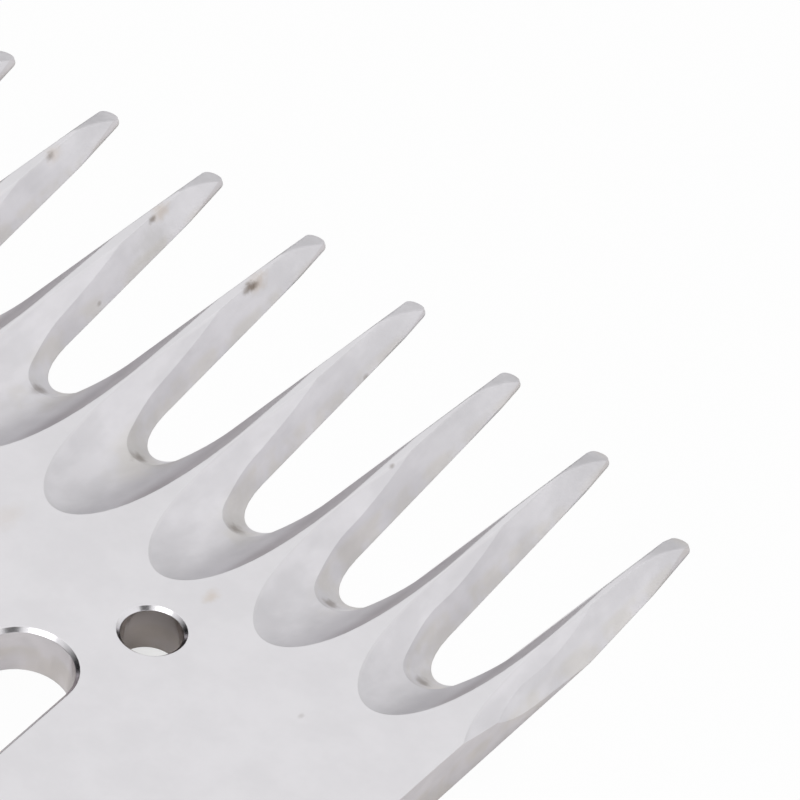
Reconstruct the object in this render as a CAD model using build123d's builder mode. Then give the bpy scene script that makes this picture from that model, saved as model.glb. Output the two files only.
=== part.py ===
# Shearing comb: the lower blade of a sheep shearing handpiece.
# It is one plate of hardened steel. Thirteen teeth are left standing between gaps that are
# milled from the skin side, and the back of the plate carries two open screw slots.
#
# Millimetres. The flat cutting face lies on z = 0 and the skin side looks up.
# The teeth point along +Y. The origin is below the middle of the plate.

import os
from math import acos, cos, radians, sin, tan

from build123d import *

# Plate
tooth_count = 13
pitch = 6.3
outer_tooth_side = 1.37
comb_length = 51.0
plate_thickness = 2.6
rear_corner_radius = 4.0

# Line of the tooth tips and line of the gap roots
outer_tip_setback = 5.2
tip_line_power = 3
middle_root_depth = 16.8
root_line_radius = 160.0

# Skin side, which falls away towards the teeth
skin_fall_start = 26.05
skin_fall_angle = 3.1
skin_blend_radius = 150.0

# Wheel that mills the gaps: a V with a round nose
gap_wheel_radius = 8.6
gap_nose_radius = 1.7
gap_flank_angle = 31.7
gap_wheel_depth = 0.82
gap_feed_angle = 6.75

# Wheel that mills the wide scoops on the skin side: a broader nose between steep flanks
scoop_wheel_radius = 35.8
scoop_nose_radius = 4.0
scoop_flank_angle = 31.0
scoop_depth = 2.08
scoop_feed_angle = 1.1
middle_scoop_end = 25.65
scoop_line_radius = 750.0

# Tooth tips
tip_radius = 0.58
tip_length = 7.5
tip_side_angle = 6.5
tip_draft_angle = 18.0
tip_thickness = 0.1
nose_radius = 11.8
nose_start_angle = 29.5
nose_end_angle = 6.0

# Screw slots and small holes
slot_spacing = 42.0
slot_width = 4.9
slot_end_centre_depth = 35.0
hole_spacing = 48.0
hole_diameter = 3.0
hole_depth = 29.05
hole_chamfer_angle = 90.0
edge_break = 0.2

# Cutting forms: how far they reach past the plate, how far round a wheel they go,
# and how much of the full height of a pointed tip they keep
cut_margin = 2.0
wheel_sweep_angle = 80.0
tip_form_share = 0.9

# Sizes that follow from the ones above
half_pitch = pitch / 2
outer_tooth_x = (tooth_count - 1) * half_pitch
comb_width = 2 * (outer_tooth_x + outer_tooth_side)
middle_tip_y = comb_length / 2
rear_y = -comb_length / 2
tooth_xs = [index * pitch - outer_tooth_x for index in range(tooth_count)]
gap_xs = [index * pitch - outer_tooth_x - half_pitch for index in range(tooth_count + 1)]


def tip_y(x):
    """Front end of the tooth that stands at x."""
    return middle_tip_y - outer_tip_setback * abs(x / outer_tooth_x) ** tip_line_power


def root_y(x):
    """Place where the gap at x reaches the cutting face."""
    return middle_tip_y - middle_root_depth - x**2 / (2 * root_line_radius)


def scoop_end_y(x):
    """Place where the scoop at x runs out on the skin side."""
    return middle_tip_y - middle_scoop_end - x**2 / (2 * scoop_line_radius)


def wheel_run(radius, depth, feed_angle):
    """Distance along Y from where a wheel enters a face to where it is at its full depth."""
    entry_angle = acos(cos(radians(feed_angle)) - depth / radius)
    return radius * (sin(entry_angle) - sin(radians(feed_angle)))


def wheel_tool(wheel_radius, nose_radius, flank_angle, height):
    """What a milling wheel takes out: it comes down at the origin, where its rim is lowest,
    and then feeds along +Y. Its section is a round nose between two straight flanks."""
    flank_turn = radians(flank_angle)
    nose_x = nose_radius * cos(flank_turn)
    nose_z = nose_radius * (1 - sin(flank_turn))
    top_x = nose_x + (height - nose_z) * tan(flank_turn)
    with BuildPart() as tool:
        with BuildSketch(Plane.XZ) as section:
            with BuildLine():
                ThreePointArc((-nose_x, nose_z), (0, 0), (nose_x, nose_z))
                Polyline((nose_x, nose_z), (top_x, height), (-top_x, height), (-nose_x, nose_z))
            make_face()
        extrude(amount=-comb_length)
        wheel_axis = Axis((0, 0, wheel_radius), (1, 0, 0))
        revolve(section.sketch, wheel_axis, revolution_arc=-wheel_sweep_angle)
    return tool.part


# The gap wheel goes on getting deeper as it feeds, so its tool is the taller one.
gap_feed_drop = middle_root_depth * tan(radians(gap_feed_angle))
gap_tool_height = plate_thickness + gap_wheel_depth + gap_feed_drop + cut_margin
gap_tool = wheel_tool(gap_wheel_radius, gap_nose_radius, gap_flank_angle, gap_tool_height)

scoop_feed_drop = middle_scoop_end * tan(radians(scoop_feed_angle))
scoop_tool_height = scoop_depth + scoop_feed_drop + cut_margin
scoop_tool = wheel_tool(scoop_wheel_radius, scoop_nose_radius, scoop_flank_angle, scoop_tool_height)

# Tip tool: what is ground away round the plan of one tip, whose front end is at the origin.
tip_turn = radians(tip_side_angle)
tip_round_x = tip_radius * cos(tip_turn)
tip_round_y = tip_radius * (sin(tip_turn) - 1)
tip_form_length = tip_length + cut_margin
tip_form_x = tip_round_x + (tip_form_length + tip_round_y) * tan(tip_turn)
tip_form_height = tip_form_share * tip_radius / tan(radians(tip_draft_angle))
front_reach = outer_tip_setback + cut_margin

with BuildPart() as tip_tool:
    with BuildSketch():
        with Locations((0, -tip_length)):
            Rectangle(pitch, tip_length + front_reach, align=(Align.CENTER, Align.MIN))
    extrude(amount=tip_form_height)
    with BuildSketch():
        with BuildLine():
            ThreePointArc((tip_round_x, tip_round_y), (0, 0), (-tip_round_x, tip_round_y))
            Polyline(
                (-tip_round_x, tip_round_y),
                (-tip_form_x, -tip_form_length),
                (tip_form_x, -tip_form_length),
                (tip_round_x, tip_round_y),
            )
        make_face()
    extrude(amount=tip_form_height, taper=tip_draft_angle, mode=Mode.SUBTRACT)

# Nose tool: what is ground away above and in front of the side profile of one tooth.
nose_start = radians(nose_start_angle)
nose_end_z = tip_thickness + nose_radius * (cos(radians(nose_end_angle)) - cos(nose_start))
nose_end_y = -nose_radius * (sin(nose_start) - sin(radians(nose_end_angle)))
nose_line_rise = plate_thickness + edge_break - nose_end_z
nose_line_end_y = nose_end_y - nose_line_rise / tan(radians(nose_end_angle))
nose_top_z = plate_thickness + cut_margin

with BuildPart() as nose_tool:
    with BuildSketch(Plane.YZ):
        with BuildLine():
            JernArc(
                (0, tip_thickness),
                (-cos(nose_start), sin(nose_start)),
                nose_radius,
                nose_start_angle - nose_end_angle,
            )
            Polyline(
                (nose_end_y, nose_end_z),
                (nose_line_end_y, plate_thickness + edge_break),
                (nose_line_end_y, nose_top_z),
                (front_reach, nose_top_z),
                (front_reach, -cut_margin),
                (0, -cut_margin),
                (0, tip_thickness),
            )
        make_face()
    extrude(amount=half_pitch, both=True)

# Side profile of the plate: the skin side bends down towards the teeth
fall_turn = radians(skin_fall_angle)
blend_start_y = middle_tip_y - skin_fall_start - skin_blend_radius * tan(fall_turn / 2)
blend_middle_y = blend_start_y + skin_blend_radius * sin(fall_turn / 2)
blend_middle_z = plate_thickness - skin_blend_radius * (1 - cos(fall_turn / 2))
blend_end_y = blend_start_y + skin_blend_radius * sin(fall_turn)
blend_end_z = plate_thickness - skin_blend_radius * (1 - cos(fall_turn))
skin_front_z = plate_thickness - skin_fall_start * tan(fall_turn)

# The blade itself
slot_x = slot_spacing / 2
slot_end_centre_y = middle_tip_y - slot_end_centre_depth
slot_length = slot_end_centre_y - rear_y + cut_margin
hole_x = hole_spacing / 2
hole_y = middle_tip_y - hole_depth
scoop_run = wheel_run(scoop_wheel_radius, scoop_depth, scoop_feed_angle)
scoop_floor_z = plate_thickness - scoop_depth
gap_run = wheel_run(gap_wheel_radius, gap_wheel_depth, gap_feed_angle)

with BuildPart() as comb_blade:
    with BuildSketch() as plate_outline:
        Rectangle(comb_width, comb_length)
        fillet(plate_outline.vertices().group_by(Axis.Y)[0], rear_corner_radius)
    extrude(amount=plate_thickness)
    with BuildSketch(Plane.YZ):
        with BuildLine():
            ThreePointArc(
                (blend_start_y, plate_thickness),
                (blend_middle_y, blend_middle_z),
                (blend_end_y, blend_end_z),
            )
            Polyline(
                (blend_end_y, blend_end_z),
                (middle_tip_y, skin_front_z),
                (middle_tip_y, 0),
                (rear_y, 0),
                (rear_y, plate_thickness),
                (blend_start_y, plate_thickness),
            )
        make_face()
    extrude(amount=comb_width / 2, both=True, mode=Mode.INTERSECT)

    # Screw slots, open at the rear, with broken edges on the skin side
    with BuildSketch():
        with Locations((-slot_x, slot_end_centre_y), (slot_x, slot_end_centre_y)):
            Circle(slot_width / 2)
            Rectangle(slot_width, slot_length, align=(Align.CENTER, Align.MAX))
    extrude(amount=plate_thickness, mode=Mode.SUBTRACT)
    skin_face = comb_blade.faces().sort_by(Axis.Z)[-1]
    slot_edges = skin_face.edges().filter_by(
        lambda edge: edge.center().Y > rear_y + edge_break
        and abs(abs(edge.center().X) - slot_x) < slot_width / 2 + edge_break
    )
    chamfer(slot_edges, edge_break)

    # Small round holes
    with Locations((-hole_x, hole_y, plate_thickness), (hole_x, hole_y, plate_thickness)):
        CounterSinkHole(
            radius=hole_diameter / 2,
            counter_sink_radius=hole_diameter / 2 + edge_break,
            counter_sink_angle=hole_chamfer_angle,
        )

    # Scoops and gaps, one of each between neighbouring teeth and one beside each outer tooth
    for x in gap_xs:
        scoop_point = (x, scoop_end_y(x) + scoop_run, scoop_floor_z)
        with Locations(Location(scoop_point, (-scoop_feed_angle, 0, 0))):
            add(scoop_tool, mode=Mode.SUBTRACT)
        gap_point = (x, root_y(x) + gap_run, -gap_wheel_depth)
        with Locations(Location(gap_point, (-gap_feed_angle, 0, 0))):
            add(gap_tool, mode=Mode.SUBTRACT)

    # Noses and tips
    for x in tooth_xs:
        with Locations((x, tip_y(x), 0)):
            add(nose_tool.part, mode=Mode.SUBTRACT)
            add(tip_tool.part, mode=Mode.SUBTRACT)

comb_blade.part.label = "comb_blade"

os.makedirs("parts", exist_ok=True)
export_step(comb_blade.part, "parts/comb_blade.step")
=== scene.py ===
# Looks of the shearing comb blade: ground steel on a plain pale floor in soft light.
# Lengths are in metres, in the frame of the CAD model, unless a name ends in _mm.
# Noise scales are per millimetre. Most pairs of numbers are the start and the end of a soft step.

from math import radians, tan

import bpy
from mathutils import Matrix, Vector

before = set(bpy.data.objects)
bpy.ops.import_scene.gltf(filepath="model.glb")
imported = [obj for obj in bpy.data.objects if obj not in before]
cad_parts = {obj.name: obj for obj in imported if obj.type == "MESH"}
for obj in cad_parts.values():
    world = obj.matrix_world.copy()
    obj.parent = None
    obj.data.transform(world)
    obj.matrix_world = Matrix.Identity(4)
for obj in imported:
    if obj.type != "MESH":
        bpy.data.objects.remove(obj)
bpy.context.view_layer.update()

# Camera: where it looks, from how far, and how it is turned
camera_target = Vector((0.02202, 0.01898, 0.0))
camera_distance = 0.7495
camera_azimuth = 31.05
camera_elevation = 43.63
camera_roll = 7.84
camera_lens_mm = 711.4
sensor_width_mm = 36.0
camera_clip = (0.01, 10.0)

# Sky: bright overhead and on the right, duller towards the horizon ahead. On the left it fades
# to black across left_edge, but not above left_top
sky_top = 0.97
sky_ahead = 0.46
sky_right = 0.9
sky_fade_height = 0.7
left_edge = (-0.85, -0.45)
left_top = (0.2, 0.6)
right_edge = (0.0, 0.6)

# A bright window and a dark patch, both behind the camera: where they are, how soft their edge
# is, and how much light they add or take away
window_direction = Vector((0.0, -0.74, 0.67))
window_edge = (0.92, 0.97)
window_level = 2.0
dark_direction = Vector((0.66, -0.31, 0.68))
dark_edge = (0.955, 0.99)
dark_share = 0.9

# Floor
floor_half = 1.5
floor_drop = 0.00002
floor_grey = 0.75
floor_roughness = 0.9

# Share of pure white in what is seen of the floor: by the camera, by the camera through a small
# hole, and in metal. Over the slots the share in metal is multiplied by slot_factor
floor_camera_share = 0.95
# The lower share through a small hole is painted shade on the floor under it
hole_shade_share = 0.64
floor_glossy_share = 0.15
# More white over the slots is painted light in what the metal there reflects
slot_factor = 2.0

# Metal sees none of that white in a shade round the teeth. The shade ends beside, ahead of and
# behind them, and the slots lie behind them and inside slot_side
shade_side = (0.0385, 0.0400)
shade_front = (0.0235, 0.0255)
shade_front_radius = 0.137
shade_rear = (0.0055, 0.0070)
slot_side = (0.030, 0.036)

# The small hole on the right, and how far from its axis the floor is darker: painted shade
hole_place_mm = (24.0, -3.55)
hole_shade_mm = (2.2, 3.0)

# Skin side of the plate, which tells ground faces from milled ones
skin_height_mm = 2.6
skin_fall_y_mm = -0.55
skin_fall_angle = 3.1
skin_margin_mm = 0.06
underside_facing = (-0.9, -0.7)

# Ground and milled steel
steel_color = (0.775, 0.762, 0.785)
milled_color = (0.785, 0.770, 0.797)
ground_roughness = 0.32
milled_roughness = 0.42
roughness_wander = 0.03

# Painted shade on the left side of the scoops, told by how far their faces look to the left
left_side_shade_tint = (0.70, 0.675, 0.685)
left_side_shade_start = (-0.40, -0.62)
left_side_shade_end = (-0.78, -0.84)

# Painted shade on upright faces, told by how little they look up or down, more in the small holes
upright_shade_tint = (0.91, 0.89, 0.88)
upright_shade_facing = (0.2, 0.5)
hole_wall_shade_tint = (0.82, 0.793, 0.762)
hole_zone_mm = (2.0, 2.5)

# Walls and broken edges of the slots and holes
bore_roughness = 0.18
bore_facing = (0.80, 0.90)
bore_side_mm = (33.0, 36.0)
bore_front_mm = (-2.0, -1.0)

# Clouds, streaks, film and grain
cloud_scale = 0.30
cloud_detail = 4.0
cloud_roughness = 0.6
cloud_range = (0.3, 0.7)
cloud_shade = (0.96, 1.03)
fine_detail = 3.0
streak_scale = 0.8
streak_stretch = (1.0, 0.4, 1.0)
streak_range = (0.35, 0.65)
streak_shade = (0.95, 1.03)
film_tint = (0.955, 0.943, 0.895)
film_scale = 0.55
film_range = (0.35, 0.60)
film_strength = 0.9
film_depth_mm = (0.9, 1.3)
grain_scale = 9.0
grain_stretch = (0.06, 1.0, 1.0)
grain_height = 0.000002

# Softened edges, more so on the tips, which lie in front of a curved line
edge_softness = 0.00005
tip_softness = 0.00018
tip_zone_mm = (21.0, 23.5)
tip_line_radius_mm = 137.0
edge_samples = 8

# Stains: the form and the tints, and for each stain its place on the blade in millimetres, its
# radius in millimetres and its strength
stain_stretch = (1.0, 0.6, 1.0)
stain_core = 0.6
stain_rim = 1.6
ragged_scale = 2.5
# The dark tint is used for dark stains and for the painted shade at the gap roots
dark_stain_and_shade_tint = (0.30, 0.25, 0.20)
brown_stain_tint = (0.87, 0.79, 0.69)
grey_stain_tint = (0.86, 0.86, 0.84)
dark_stains = [
    ((0.24, 19.86, 1.37), 0.26, 0.55),
    ((6.54, 19.70, 1.37), 0.24, 0.70),
    ((12.83, 19.05, 1.40), 0.36, 0.80),
    ((12.87, 19.50, 1.30), 0.25, 0.55),
    ((25.37, 13.51, 1.80), 0.15, 0.50),
    ((32.52, -3.38, 2.60), 0.17, 0.24),
    ((7.58, 14.31, 0.31), 0.15, 0.40),
    ((19.91, 19.10, 0.05), 0.20, 0.40),
]
brown_stains = [
    ((6.50, 20.42, 1.31), 0.55, 0.70),
    ((12.87, 19.70, 1.27), 0.60, 0.70),
    ((0.24, 20.20, 1.30), 0.50, 0.50),
    ((24.67, 0.20, 2.52), 0.42, 0.65),
    ((14.43, -2.10, 2.56), 0.80, 0.25),
]
grey_stains = [
    ((7.05, 19.03, 0.62), 1.1, 0.8),
]

# Painted shade at the bottom of every gap: where the gap roots are, and its place against a root
gap_count = 12
gap_pitch_mm = 6.3
root_front_mm = 8.7
root_line_radius_mm = 160.0
root_shade_offset_mm = (-0.25, -1.05, 0.62)
root_shade_radius_mm = 0.50
root_shade_strength = 0.60

mm_per_metre = 1000.0
white = (1, 1, 1, 1)


def add_camera():
    """A long lens that looks down on the teeth from the rear right."""
    data = bpy.data.cameras.new("camera")
    data.sensor_width = sensor_width_mm
    data.lens = camera_lens_mm
    data.clip_start, data.clip_end = camera_clip
    camera = bpy.data.objects.new("camera", data)
    bpy.context.collection.objects.link(camera)
    turn = (
        Matrix.Rotation(radians(camera_azimuth), 4, "Z")
        @ Matrix.Rotation(radians(90 - camera_elevation), 4, "X")
        @ Matrix.Rotation(radians(camera_roll), 4, "Z")
    )
    back = turn @ Vector((0, 0, camera_distance))
    camera.matrix_world = Matrix.Translation(camera_target + back) @ turn
    bpy.context.scene.camera = camera


class Nodes:
    """Short ways to add nodes to one node tree and wire them up."""

    def __init__(self, tree):
        self.tree = tree

    def feed(self, socket, value):
        """Give an input a plain value, or link it to the output that it is fed from."""
        if isinstance(value, bpy.types.NodeSocket):
            self.tree.links.new(value, socket)
        else:
            socket.default_value = value

    def add(self, kind, inputs=None, **settings):
        """Add a node with its settings and inputs."""
        node = self.tree.nodes.new(kind)
        for name, value in settings.items():
            setattr(node, name, value)
        for key, value in (inputs or {}).items():
            self.feed(node.inputs[key], value)
        return node

    def math(self, operation, first, second=0.0):
        """Result of one operation on two numbers."""
        return self.add("ShaderNodeMath", {0: first, 1: second}, operation=operation).outputs[0]

    def vector_math(self, operation, first, second):
        """A number that is worked out from two vectors."""
        node = self.add("ShaderNodeVectorMath", {0: first, 1: second}, operation=operation)
        return node.outputs["Value"]

    def split(self, vector):
        """The X, Y and Z of a vector."""
        node = self.add("ShaderNodeSeparateXYZ", {0: vector})
        return node.outputs["X"], node.outputs["Y"], node.outputs["Z"]

    def ramp(self, value, low, high, to_low=0.0, to_high=1.0):
        """Soft step of a value from one range to another."""
        ends = {"From Min": low, "From Max": high, "To Min": to_low, "To Max": to_high}
        node = self.add(
            "ShaderNodeMapRange", {"Value": value, **ends}, interpolation_type="SMOOTHSTEP"
        )
        return node.outputs["Result"]

    def mix(self, factor, first, second, blend="MIX"):
        """Mix two colours."""
        node = self.add("ShaderNodeMix", {0: factor}, data_type="RGBA", blend_type=blend)
        for index, color in ((6, first), (7, second)):
            self.feed(node.inputs[index], (*color, 1.0) if isinstance(color, tuple) else color)
        return node.outputs[2]

    def tinted(self, color, tint, factor=1.0):
        """A colour times a tint, as far as the factor says."""
        return self.mix(factor, color, tint, "MULTIPLY")

    def grey(self, level):
        """A grey of the given level."""
        return self.add("ShaderNodeCombineColor", {0: level, 1: level, 2: level}).outputs[0]

    def stretched(self, place, stretch):
        """A place with each direction scaled by its own factor."""
        return self.add("ShaderNodeMapping", {"Vector": place, "Scale": stretch}).outputs[0]

    def noise(self, place, scale, detail=fine_detail, **more):
        """Level of a soft noise at a place."""
        inputs = {"Vector": place, "Scale": scale, "Detail": detail, **more}
        return self.add("ShaderNodeTexNoise", inputs).outputs["Fac"]

    def from_hole(self, x, y, scale):
        """Distance in plan, in millimetres, from the axis of the nearer small hole."""
        sideways = self.math("MULTIPLY", self.math("ABSOLUTE", x), scale)
        forward = self.math("MULTIPLY", y, scale)
        place = self.add("ShaderNodeCombineXYZ", {0: sideways, 1: forward}).outputs[0]
        return self.vector_math("DISTANCE", place, Vector((*hole_place_mm, 0.0)))


def add_world():
    """A soft sky, duller near the horizon ahead and dark on the left, with a window behind."""
    world = bpy.data.worlds.new("world")
    bpy.context.scene.world = world
    world.use_nodes = True
    nodes = Nodes(world.node_tree)
    background = world.node_tree.nodes["Background"]
    direction = nodes.add("ShaderNodeTexCoord").outputs["Generated"]
    x, _, z = nodes.split(direction)
    horizon = nodes.ramp(x, *right_edge, sky_ahead, sky_right)
    level = nodes.ramp(z, 0.0, sky_fade_height, horizon, sky_top)
    left = nodes.math("MAXIMUM", nodes.ramp(x, *left_edge), nodes.ramp(z, *left_top))
    level = nodes.math("MULTIPLY", level, left)
    window = nodes.vector_math("DOT_PRODUCT", direction, window_direction)
    level = nodes.math("ADD", level, nodes.ramp(window, *window_edge, 0.0, window_level))
    dark = nodes.vector_math("DOT_PRODUCT", direction, dark_direction)
    level = nodes.math("MULTIPLY", level, nodes.ramp(dark, *dark_edge, 1.0, 1.0 - dark_share))
    nodes.feed(background.inputs["Strength"], level)
    nodes.feed(background.inputs["Color"], white)


def add_floor():
    """A pale floor: close to white for the camera, with the soft shadow of the blade on it."""
    mesh = bpy.data.meshes.new("floor")
    corners = [(x, y, 0) for x, y in ((-1, -1), (1, -1), (1, 1), (-1, 1))]
    mesh.from_pydata([Vector(corner) * floor_half for corner in corners], [], [(0, 1, 2, 3)])
    floor = bpy.data.objects.new("floor", mesh)
    bpy.context.collection.objects.link(floor)
    floor.location.z = -floor_drop
    material = bpy.data.materials.new("floor")
    material.use_nodes = True
    nodes = Nodes(material.node_tree)
    matt = material.node_tree.nodes["Principled BSDF"]
    nodes.feed(matt.inputs["Base Color"], (floor_grey, floor_grey, floor_grey, 1))
    nodes.feed(matt.inputs["Roughness"], floor_roughness)

    # How clear of the teeth a place on the floor is
    x, y, _ = nodes.split(nodes.add("ShaderNodeTexCoord").outputs["Object"])
    sideways = nodes.math("ABSOLUTE", x)
    beside = nodes.ramp(sideways, *shade_side)
    bend = nodes.math("DIVIDE", nodes.math("POWER", x, 2.0), 2 * shade_front_radius)
    ahead = nodes.ramp(nodes.math("ADD", y, bend), *shade_front)
    rearward = nodes.math("MULTIPLY", y, -1.0)
    # Painted light: metal sees the floor whiter over the slots
    rear_factor = nodes.ramp(sideways, *slot_side, slot_factor, 1.0)
    behind = nodes.ramp(rearward, *shade_rear, 0.0, rear_factor)
    clear = nodes.math("MAXIMUM", nodes.math("MAXIMUM", beside, ahead), behind)

    # How white the floor looks to the camera, through glass and in metal
    ray = nodes.add("ShaderNodeLightPath").outputs
    straight = nodes.math("MAXIMUM", ray["Is Camera Ray"], ray["Is Transmission Ray"])
    # Painted shade: less white under the small holes, on top of the floor's own shadow there
    from_hole = nodes.from_hole(x, y, mm_per_metre)
    camera_share = nodes.ramp(from_hole, *hole_shade_mm, hole_shade_share, floor_camera_share)
    straight_share = nodes.math("MULTIPLY", straight, camera_share)
    glossy_share = nodes.math("MULTIPLY", ray["Is Glossy Ray"], floor_glossy_share)
    share = nodes.math("MAXIMUM", straight_share, nodes.math("MULTIPLY", glossy_share, clear))
    glow = nodes.add("ShaderNodeEmission", {"Color": white, "Strength": 1.0})
    mix = nodes.add("ShaderNodeMixShader", {0: share, 1: matt.outputs[0], 2: glow.outputs[0]})
    nodes.feed(material.node_tree.nodes["Material Output"].inputs["Surface"], mix.outputs[0])
    mesh.materials.append(material)


def root_shade_patches():
    """One patch of painted shade for every gap, in the same form as the lists of stains."""
    stains = []
    for index in range(gap_count):
        x = (index - (gap_count - 1) / 2) * gap_pitch_mm
        y = root_front_mm - x**2 / (2 * root_line_radius_mm)
        centre = (x + root_shade_offset_mm[0], y + root_shade_offset_mm[1], root_shade_offset_mm[2])
        stains.append((centre, root_shade_radius_mm, root_shade_strength))
    return stains


def steel_material():
    """Ground and milled steel with a fine grain, soft clouds, a few old stains and painted shade.
    """
    material = bpy.data.materials.new("ground_steel")
    material.use_nodes = True
    nodes = Nodes(material.node_tree)
    shader = material.node_tree.nodes["Principled BSDF"]
    nodes.feed(shader.inputs["Metallic"], 1.0)

    coordinates = nodes.add("ShaderNodeTexCoord").outputs
    inputs = {0: coordinates["Object"], "Scale": mm_per_metre}
    place = nodes.add("ShaderNodeVectorMath", inputs, operation="SCALE").outputs[0]
    x, y, z = nodes.split(place)
    facing_x, _, facing_z = nodes.split(coordinates["Normal"])

    # How far a point lies below the skin side: nothing on ground faces, more on milled ones
    ahead = nodes.math("MAXIMUM", nodes.math("SUBTRACT", y, skin_fall_y_mm), 0.0)
    fall = nodes.math("MULTIPLY", ahead, tan(radians(skin_fall_angle)))
    depth = nodes.math("SUBTRACT", nodes.math("SUBTRACT", skin_height_mm, fall), z)
    above = nodes.ramp(facing_z, *underside_facing)
    milled = nodes.ramp(depth, skin_margin_mm, 2 * skin_margin_mm)
    milled = nodes.math("MULTIPLY", milled, above)
    color = nodes.mix(milled, steel_color, milled_color)

    # Painted shade: the left side of every scoop is tinted darker, where its faces look left
    left_side_shade = nodes.math(
        "MULTIPLY",
        nodes.ramp(facing_x, *left_side_shade_start),
        nodes.ramp(facing_x, *left_side_shade_end, 1.0, 0.0),
    )
    color = nodes.tinted(color, left_side_shade_tint, left_side_shade)

    # Slots and holes have smoother walls and edges; upright faces get browner painted shade
    beside = nodes.math("ABSOLUTE", x)
    flatness = nodes.math("ABSOLUTE", facing_z)
    bore = nodes.ramp(flatness, *bore_facing, 1.0, 0.0)
    bore = nodes.math("MULTIPLY", bore, nodes.ramp(beside, *bore_side_mm, 1.0, 0.0))
    bore = nodes.math("MULTIPLY", bore, nodes.ramp(y, *bore_front_mm, 1.0, 0.0))
    upright_shade = nodes.ramp(flatness, *upright_shade_facing, 1.0, 0.0)
    color = nodes.tinted(color, upright_shade_tint, upright_shade)
    # Deeper and browner painted shade on the walls of the small holes
    near_hole = nodes.ramp(nodes.from_hole(x, y, 1.0), *hole_zone_mm, 1.0, 0.0)
    color = nodes.tinted(color, hole_wall_shade_tint, nodes.math("MULTIPLY", upright_shade, near_hole))

    # Soft clouds in tone
    cloud = nodes.noise(place, cloud_scale, cloud_detail, Roughness=cloud_roughness)
    color = nodes.tinted(color, nodes.grey(nodes.ramp(cloud, *cloud_range, *cloud_shade)))

    # Soft streaks along the feed of the wheel on the milled faces
    streaks = nodes.noise(nodes.stretched(place, streak_stretch), streak_scale)
    streaks = nodes.ramp(streaks, *streak_range, *streak_shade)
    color = nodes.tinted(color, nodes.grey(streaks), milled)

    # A faint brownish film in patches, deep down on the milled faces
    film = nodes.ramp(nodes.noise(place, film_scale), *film_range, 0.0, film_strength)
    film = nodes.math("MULTIPLY", film, nodes.ramp(depth, *film_depth_mm))
    film = nodes.math("MULTIPLY", film, above)
    color = nodes.tinted(color, film_tint, film)

    # Stains with ragged edges, a little longer than wide, and the painted shade at the gap roots
    ragged = nodes.noise(place, ragged_scale)
    long_place = nodes.stretched(place, stain_stretch)
    stain_groups = (
        (grey_stains, grey_stain_tint),
        (brown_stains, brown_stain_tint),
        (dark_stains + root_shade_patches(), dark_stain_and_shade_tint),
    )
    for stains, tint in stain_groups:
        for centre_mm, radius_mm, strength in stains:
            centre = Vector([a * b for a, b in zip(centre_mm, stain_stretch)])
            away = nodes.vector_math("DISTANCE", long_place, centre)
            away = nodes.math("ADD", away, nodes.math("MULTIPLY", ragged, radius_mm))
            edge = (stain_core * radius_mm, stain_rim * radius_mm)
            color = nodes.tinted(color, tint, nodes.ramp(away, *edge, strength, 0.0))
    nodes.feed(shader.inputs["Base Color"], color)

    # Milled faces are duller than ground ones, and walls and edges of slots and holes shinier
    roughness = nodes.ramp(milled, 0.0, 1.0, ground_roughness, milled_roughness)
    roughness = nodes.ramp(bore, 0.0, 1.0, roughness, bore_roughness)
    wander = nodes.ramp(cloud, *cloud_range, -roughness_wander, roughness_wander)
    nodes.feed(shader.inputs["Roughness"], nodes.math("ADD", roughness, wander))

    # Edges catch the light softly, and the worn tips most of all
    bend = nodes.math("DIVIDE", nodes.math("POWER", beside, 2.0), 2 * tip_line_radius_mm)
    towards_tip = nodes.math("ADD", y, bend)
    softness = nodes.ramp(towards_tip, *tip_zone_mm, edge_softness, tip_softness)
    soft_edge = nodes.add("ShaderNodeBevel", {"Radius": softness}, samples=edge_samples)

    # Fine grain across the plate
    grain = nodes.noise(nodes.stretched(place, grain_stretch), grain_scale)
    relief = {"Height": grain, "Distance": grain_height, "Strength": 1.0}
    bump = nodes.add("ShaderNodeBump", {**relief, "Normal": soft_edge.outputs[0]})
    nodes.feed(shader.inputs["Normal"], bump.outputs[0])
    return material


add_camera()
add_world()
add_floor()
bpy.context.scene.view_settings.view_transform = "Standard"

steel = steel_material()
for material_slot in bpy.data.objects["comb_blade"].material_slots:
    material_slot.material = steel
